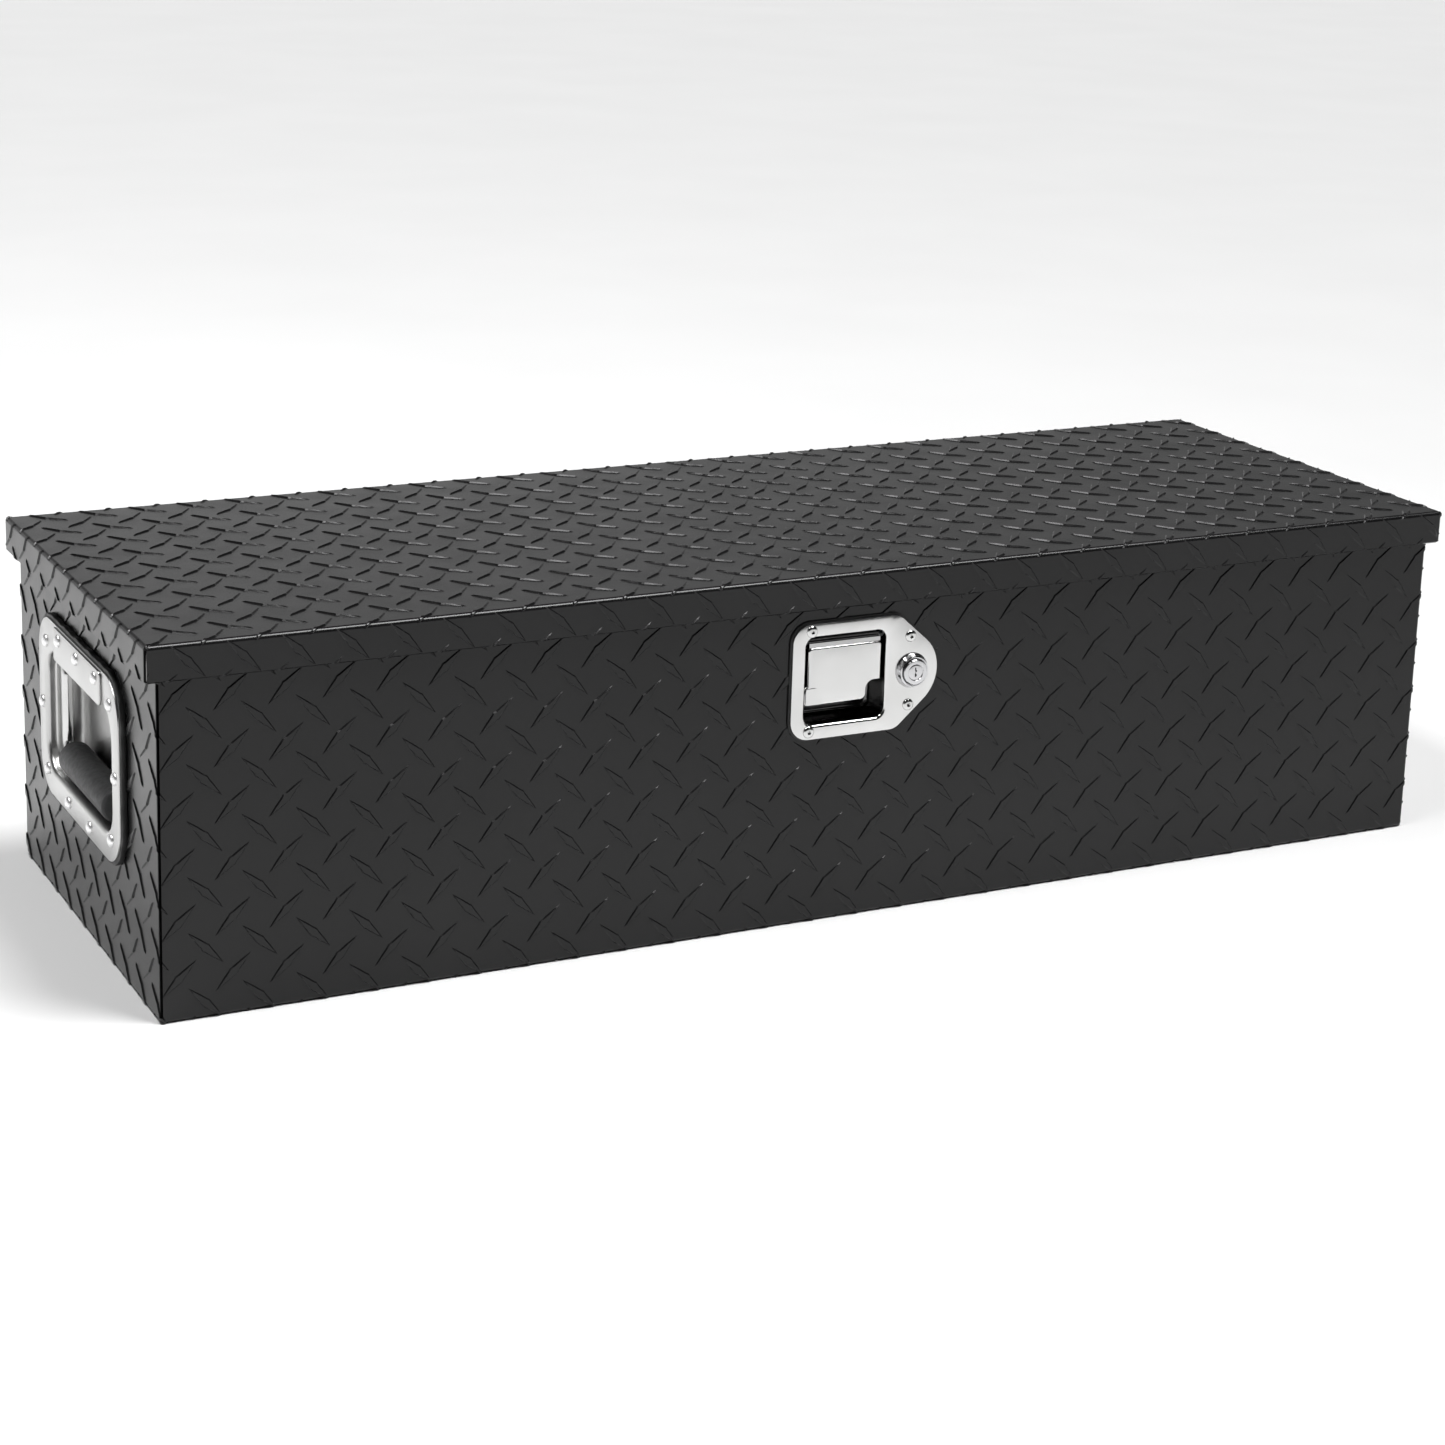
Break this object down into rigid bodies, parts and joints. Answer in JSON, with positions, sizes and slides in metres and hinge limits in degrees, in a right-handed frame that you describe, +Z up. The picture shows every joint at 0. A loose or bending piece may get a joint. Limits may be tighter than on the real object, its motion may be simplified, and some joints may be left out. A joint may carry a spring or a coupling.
{
  "type": "truck tool box",
  "caption": "Low rectangular truck tool box in black tread plate with an overhanging hinged lid, a lockable paddle latch on the front and recessed folding handles in the ends.",
  "frame": {"origin": "middle of the underside of the floor", "axes": "+X along the length to the right seen from the front, +Y towards the back, +Z up"},
  "size_m": [0.99, 0.3466, 0.248],
  "materials": {
    "black_sheet": "satin black powder coat",
    "stainless": "polished",
    "zinc_steel": "zinc plated",
    "black_rubber": "matt",
    "seal_sponge": "closed-cell sponge",
    "chrome": "chrome plated",
    "strut_paint": "gloss black"
  },
  "bodies": {
    "tub": {"body_shell": "black_sheet", "end_panel_left": "black_sheet", "end_panel_right": "black_sheet", "weather_seal": "seal_sponge", "hinge_leaf_body": "stainless", "hinge_pin": "stainless", "latch_faceplate": "stainless", "latch_gasket": "black_rubber", "latch_rivet_1": "stainless", "latch_rivet_2": "stainless", "latch_rivet_3": "stainless", "latch_rivet_4": "stainless", "paddle_pin": "zinc_steel", "latch_bracket": "zinc_steel", "hook_pin": "zinc_steel", "hook_spring": "zinc_steel", "lock_barrel": "chrome", "lock_nut": "zinc_steel", "handle_dish_left": "stainless", "handle_gasket_left": "black_rubber", "handle_stop_left": "stainless", "handle_rivet_ring_left": "stainless", "handle_dish_right": "stainless", "handle_gasket_right": "black_rubber", "handle_stop_right": "stainless", "handle_rivet_ring_right": "stainless", "strut_bracket_left": "zinc_steel", "strut_bracket_right": "zinc_steel"},
    "lid": {"lid_shell": "black_sheet", "hinge_leaf_lid": "stainless", "lid_stiffener_left": "black_sheet", "lid_stiffener_right": "black_sheet", "striker": "zinc_steel", "strut_stud_left": "zinc_steel", "strut_stud_right": "zinc_steel"},
    "paddle": {"paddle": "stainless"},
    "hook": {"latch_hook": "zinc_steel"},
    "lock": {"lock_plug": "chrome", "lock_cam": "zinc_steel"},
    "handle_left": {"handle_bail_left": "stainless", "handle_grip_left": "black_rubber"},
    "handle_right": {"handle_bail_right": "stainless", "handle_grip_right": "black_rubber"},
    "strut_cylinder_left": {"strut_cylinder_left": "strut_paint"},
    "strut_rod_left": {"strut_rod_left": "chrome"},
    "strut_cylinder_right": {"strut_cylinder_right": "strut_paint"},
    "strut_rod_right": {"strut_rod_right": "chrome"}
  },
  "joints": [
    {"name": "lid_hinge", "type": "hinge", "parent": "tub", "child": "lid", "pos_m": [0, 0.16875, 0.2204], "axis": [-1, 0, 0], "range_deg": [0, 90]},
    {"name": "paddle_pull", "type": "hinge", "parent": "tub", "child": "paddle", "pos_m": [-0.009, -0.1605, 0.2], "axis": [-1, 0, 0], "range_deg": [0, 20], "stiffness_Nm_per_rad": 0.6, "springref_deg": -5.73},
    {"name": "hook_release", "type": "hinge", "parent": "tub", "child": "hook", "pos_m": [-0.009, -0.13, 0.166], "axis": [-1, 0, 0], "range_deg": [0, 18]},
    {"name": "lock_turn", "type": "hinge", "parent": "tub", "child": "lock", "pos_m": [0.0433, -0.155, 0.174], "axis": [0, 1, 0], "range_deg": [0, 90]},
    {"name": "handle_left_swing", "type": "hinge", "parent": "tub", "child": "handle_left", "pos_m": [-0.4795, 0, 0.166], "axis": [0, 1, 0], "range_deg": [0, 90]},
    {"name": "handle_right_swing", "type": "hinge", "parent": "tub", "child": "handle_right", "pos_m": [0.4795, 0, 0.166], "axis": [0, -1, 0], "range_deg": [0, 90]},
    {"name": "strut_left_swing", "type": "hinge", "parent": "tub", "child": "strut_cylinder_left", "pos_m": [-0.443, 0.10875, 0.1804], "axis": [-1, 0, 0], "range_deg": [0, 86.99]},
    {"name": "strut_left_slide", "type": "slide", "parent": "strut_cylinder_left", "child": "strut_rod_left", "axis": [0, -0.9459, 0.3243], "range_m": [0, 0.1015]},
    {"name": "strut_right_swing", "type": "hinge", "parent": "tub", "child": "strut_cylinder_right", "pos_m": [0.443, 0.10875, 0.1804], "axis": [-1, 0, 0], "range_deg": [0, 86.99]},
    {"name": "strut_right_slide", "type": "slide", "parent": "strut_cylinder_right", "child": "strut_rod_right", "axis": [0, -0.9459, 0.3243], "range_m": [0, 0.1015]}
  ],
  "couplings": [
    {"joint": "hook_release", "follows": "paddle_pull", "ratio": 0.89},
    {"joint": "strut_left_swing", "follows": "lid_hinge", "ratio": 0.9655},
    {"joint": "strut_left_slide", "follows": "lid_hinge", "m_per_rad": 0.06458},
    {"joint": "strut_right_swing", "follows": "lid_hinge", "ratio": 0.9655},
    {"joint": "strut_right_slide", "follows": "lid_hinge", "m_per_rad": 0.06458}
  ]
}
